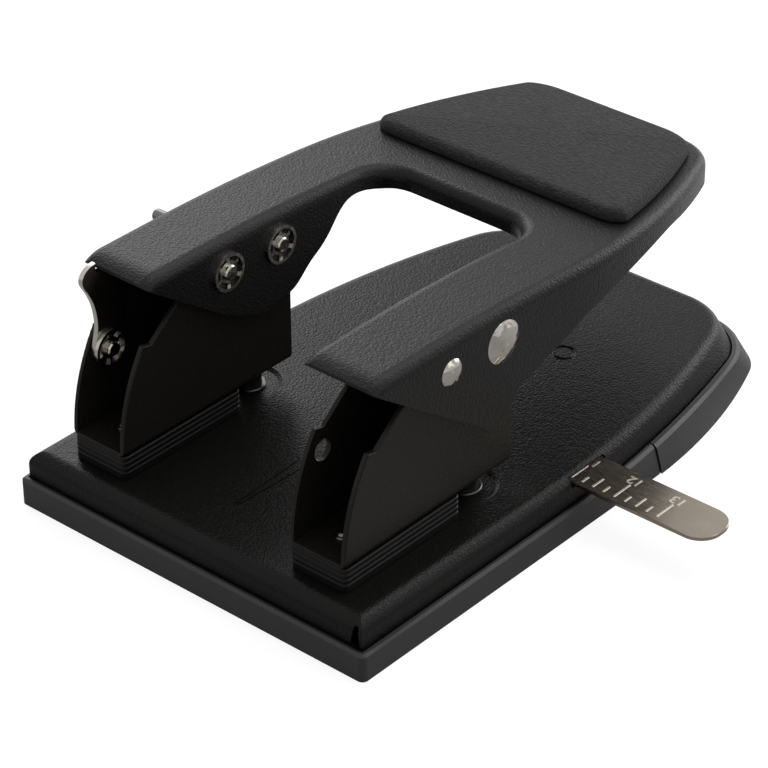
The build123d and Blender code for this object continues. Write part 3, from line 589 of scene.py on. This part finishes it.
def scale_line(x, length):
    """One stamped line: a thin bar with rounded ends and eased top edges."""
    place = (x, guide_front + MARK_INSET + length / 2, guide_top)
    bpy.ops.object.select_all(action="DESELECT")
    bpy.ops.mesh.primitive_cube_add(size=1, location=place)
    line = bpy.context.object
    line.scale = (MARK_WIDTH, length, 2 * MARK_RELIEF)
    apply_place(line)
    bpy.ops.object.mode_set(mode="EDIT")
    pick(line, "edges", lambda e: abs(e.verts[0].co.z - e.verts[1].co.z) > MARK_RELIEF)
    bpy.ops.mesh.bevel(offset=END_ROUND, segments=4, affect="EDGES")
    pick(line, "edges", lambda e: all(v.co.z > guide_top + MARK_RELIEF / 2 for v in e.verts))
    bpy.ops.mesh.bevel(offset=TOP_EASE, segments=2, affect="EDGES")
    bpy.ops.object.mode_set(mode="OBJECT")
    return line


scale_lines = [
    scale_line(FIRST_MARK + mark * MARK_PITCH, MARK_LENGTHS[mark % len(MARK_LENGTHS)])
    for mark in range(MARK_COUNT)
]
only_selected(scale_lines[0])
for line in scale_lines:
    line.select_set(True)
bpy.ops.object.join()
marks = bpy.context.object
marks.name = "guide_scale_lines"
wear_only(marks, mark_highlight_nickel)
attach(marks, "paper_guide")
print("scale lines:", MARK_COUNT)

# %% [markdown]
# The numbers stand at the ends of the whole-inch lines and are read from the back of the punch, so
# they are turned half round. A text object is made a mesh before its place is applied.

# %% Scale numbers
NUMBER_SIZE = 4.2 * MM
NUMBER_WEIGHT = 0.04 * MM
NUMBER_CENTRE = guide_front + MARK_INSET + MARK_LENGTHS[0] + 0.45 * NUMBER_SIZE
WELD_DISTANCE = 0.001 * MM


def stamped_number(text, x):
    """One stamped number above a whole-inch line, read from the back."""
    bpy.ops.object.select_all(action="DESELECT")
    bpy.ops.object.text_add(location=(x, NUMBER_CENTRE, guide_top))
    number = bpy.context.object
    number.data.body = text
    number.data.size = NUMBER_SIZE
    number.data.extrude = MARK_RELIEF
    number.data.offset = NUMBER_WEIGHT
    number.data.align_x = "CENTER"
    number.data.align_y = "CENTER"
    number.rotation_euler = (0, 0, math.pi)
    bpy.ops.object.convert(target="MESH")
    number = bpy.context.object
    number.name = f"guide_number_{text}"
    apply_place(number)
    bpy.ops.object.mode_set(mode="EDIT")
    bpy.ops.mesh.select_all(action="SELECT")
    bpy.ops.mesh.remove_doubles(threshold=WELD_DISTANCE)
    bpy.ops.mesh.normals_make_consistent(inside=False)
    bpy.ops.object.mode_set(mode="OBJECT")
    wear_only(number, mark_highlight_nickel)
    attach(number, "paper_guide")
    return number


for step, label in enumerate(("11", "12", "13")):
    number = stamped_number(label, FIRST_MARK + 4 * step * MARK_PITCH)
    print(number.name, "faces:", len(number.data.polygons))

# %% [markdown]
# ## Floor and light
#
# The punch stands on a grey floor that throws little light up at its black sides. The camera sees
# it as white, because its material glows for camera rays, and it keeps a faint shadow. In
# reflections the floor is dim near the punch and gets white towards the back left, which lights up
# the level tops and leaves the upright sides dark. The world is white to the camera and in
# reflections, and half as strong as a source of light, so the metal shows a bright studio without
# washing out the paint.

# %% Floor
FLOOR_SIZE = 8
FLOOR_DROP = 0.02 * MM
FLOOR_COLOR = (0.22, 0.22, 0.22, 1)
WHITE = (1, 1, 1, 1)
FLOOR_LIFT = 0.85
FLOOR_GLOW = 0.25
FLOOR_FAR_GLOW = 1.0
GLOW_START, GLOW_FULL = 0.05, 0.18
BACK_LEFT = (-math.sqrt(0.5), math.sqrt(0.5), 0)


def seen_directly(owner, rays):
    """1 for rays that come from the camera, also through something clear, else 0."""
    return math_node(
        owner, "MAXIMUM", rays.outputs["Is Camera Ray"], rays.outputs["Is Transmission Ray"]
    )


bpy.ops.object.select_all(action="DESELECT")
bpy.ops.mesh.primitive_plane_add(size=FLOOR_SIZE, location=(0, 0, -FLOOR_DROP))
floor = bpy.context.object
floor.name = "studio_floor"
floor_paper, floor_shader = new_material(
    "floor_paper", Roughness=0.9, Base_Color=FLOOR_COLOR, Emission_Color=WHITE
)
rays = add_node(floor_paper, "ShaderNodeLightPath")
direct = math_node(floor_paper, "MULTIPLY", seen_directly(floor_paper, rays), FLOOR_LIFT)
diagonal = add_node(
    floor_paper, "ShaderNodeVectorMath", {0: object_space(floor_paper), 1: BACK_LEFT},
    operation="DOT_PRODUCT",
)
glow = remap(
    floor_paper, diagonal.outputs["Value"], GLOW_START, GLOW_FULL, FLOOR_GLOW, FLOOR_FAR_GLOW
)
lift = math_node(floor_paper, "MULTIPLY_ADD", rays.outputs["Is Glossy Ray"], glow, direct)
join(floor_paper, lift, floor_shader.inputs["Emission Strength"])
floor.data.materials.append(floor_paper)
print("floor:", floor.name)

# %% World
WORLD_LIGHT = 0.50
WORLD_SEEN = 1.0
world = bpy.data.worlds.new("white_studio")
bpy.context.scene.world = world
world.use_nodes = True
background = world.node_tree.nodes["Background"]
background.inputs["Color"].default_value = WHITE
rays = add_node(world, "ShaderNodeLightPath")
seen = math_node(world, "MAXIMUM", rays.outputs["Is Glossy Ray"], seen_directly(world, rays))
strength = remap(world, seen, 0, 1, WORLD_LIGHT, WORLD_SEEN)
join(world, strength, background.inputs["Strength"])
print("world:", world.name)

# %% Lamps
LAMP_AIM = Vector((0, 0.03, 0.03))


def soft_lamp(name, place, size, power):
    """Square area lamp that points at the punch."""
    bpy.ops.object.light_add(type="AREA", location=place)
    lamp = bpy.context.object
    lamp.name = name
    lamp.data.size = size
    lamp.data.energy = power
    lamp.rotation_euler = (LAMP_AIM - Vector(place)).to_track_quat("-Z", "Y").to_euler()
    return lamp


lamps = [
    soft_lamp("overhead_softbox", place=(0.12, 0.40, 1.1), size=0.9, power=7.0),
    soft_lamp("back_left_softbox", place=(-0.72, 0.44, 0.50), size=0.50, power=2.8),
    soft_lamp("right_card", place=(0.9, 0.35, 0.55), size=0.5, power=1.0),
    soft_lamp("back_card", place=(0.22, 1.10, 0.42), size=0.7, power=5.5),
]
print("lamps:", [lamp.name for lamp in lamps])

# %% [markdown]
# ## Camera and colour
#
# The camera stands where the photographer stood: in front and to the right, about a third of a
# right angle above the table, with a long lens that keeps the parallels nearly parallel. Its place
# and turn were solved from known points of the punch.

# %% Camera
AZIMUTH = math.radians(41.284)
ELEVATION = math.radians(32.455)
ROLL = math.radians(-0.453)
CAMERA_PLACE = Vector((436.18, -485.11, 443.00)) * MM
LENS = 150.54
SENSOR_WIDTH = 36
NEAREST, FARTHEST = 0.01, 20
back = Vector((
    math.sin(AZIMUTH) * math.cos(ELEVATION),
    -math.cos(AZIMUTH) * math.cos(ELEVATION),
    math.sin(ELEVATION),
))
level_right = Vector((math.cos(AZIMUTH), math.sin(AZIMUTH), 0))
level_up = back.cross(level_right)
right = math.cos(ROLL) * level_right + math.sin(ROLL) * level_up
up = -math.sin(ROLL) * level_right + math.cos(ROLL) * level_up
turn = Matrix((right, up, back)).transposed()
bpy.ops.object.camera_add()
camera = bpy.context.object
camera.matrix_world = Matrix.Translation(CAMERA_PLACE) @ turn.to_4x4()
camera.data.lens = LENS
camera.data.sensor_width = SENSOR_WIDTH
camera.data.clip_start = NEAREST
camera.data.clip_end = FARTHEST
bpy.context.scene.camera = camera
bpy.context.scene.view_settings.view_transform = "Standard"
print("camera at", [round(v, 3) for v in camera.location])

# %% Update the scene
bpy.context.view_layer.update()
